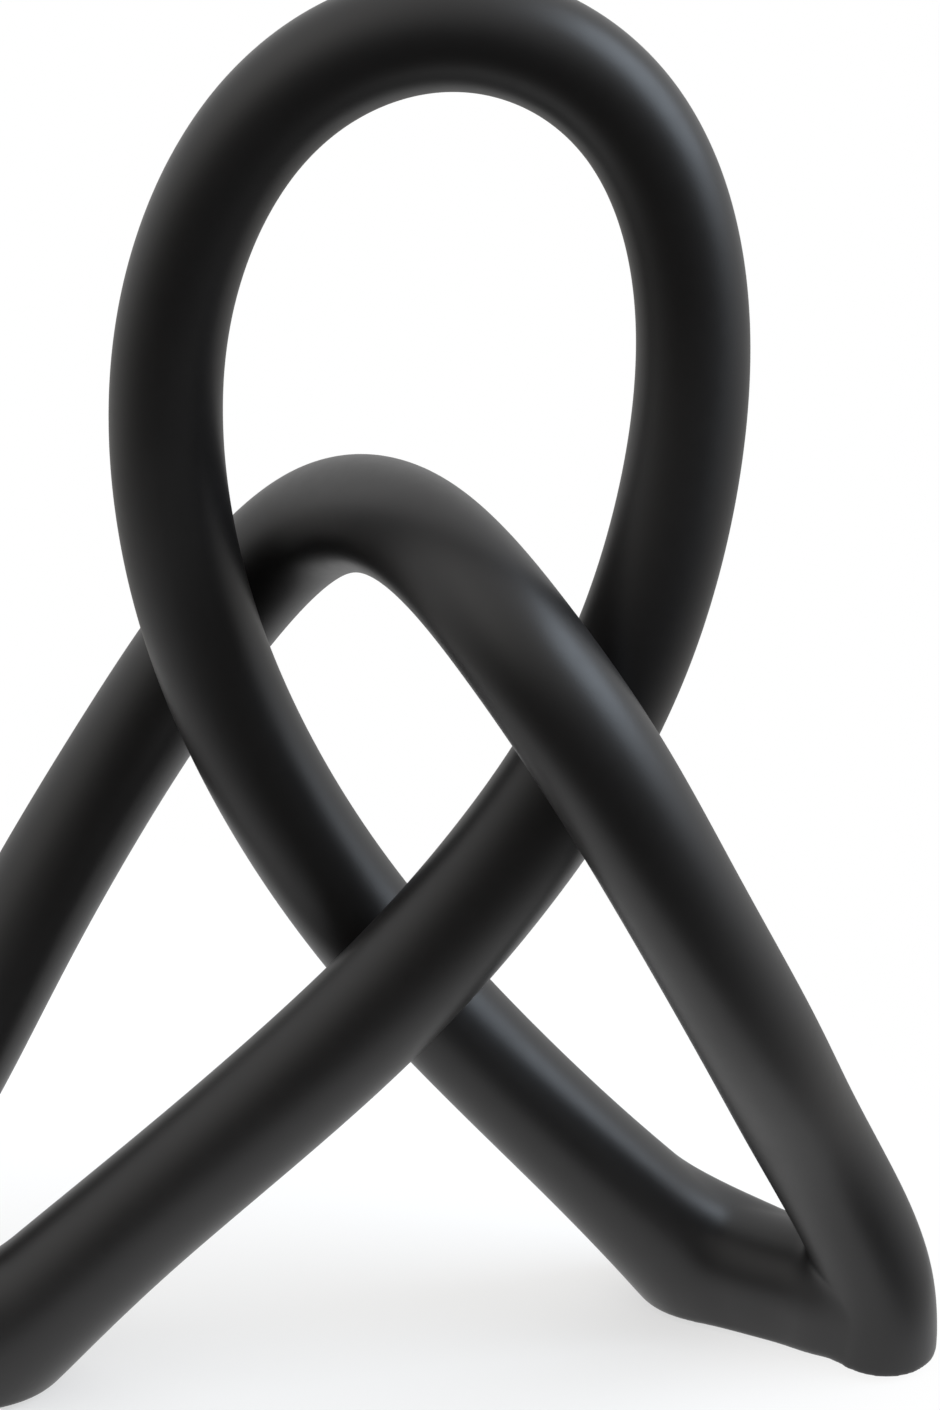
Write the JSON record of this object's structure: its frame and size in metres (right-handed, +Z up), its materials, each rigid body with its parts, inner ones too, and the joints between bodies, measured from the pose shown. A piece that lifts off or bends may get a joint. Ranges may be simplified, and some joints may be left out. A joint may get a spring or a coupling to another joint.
{
  "type": "abstract knot sculpture",
  "caption": "Tall loop of round matte black tube threaded over and under an arch of the same tube, an open knot that stands on flat-cut feet as a tabletop ornament.",
  "frame": {"origin": "on the table under the middle of the knot, at the centre of the box's underside, midway between the feet", "axes": "+Z up, X across from the left foot to the right foot as the viewer sees them, +Y away from the viewer"},
  "size_m": [0.2875, 0.1156, 0.3343],
  "materials": {
    "resin": "cast resin with a matte black coat and a soft satin sheen",
    "dowel": "plain ground steel pin",
    "pad": "soft dark foot pad"
  },
  "bodies": {
    "root": {"crown_loop": "resin", "rear_sweep": "resin", "front_sweep": "resin", "bridge_arch": "resin", "right_foot": "resin", "left_foot": "resin", "dowel_waist_left": "dowel", "dowel_waist_right": "dowel", "dowel_heel_right": "dowel", "dowel_heel_left": "dowel", "dowel_leg_right": "dowel", "dowel_leg_left": "dowel", "pad_heel_right": "pad", "pad_toe_right": "pad", "pad_heel_left": "pad", "pad_toe_left": "pad"}
  },
  "joints": []
}
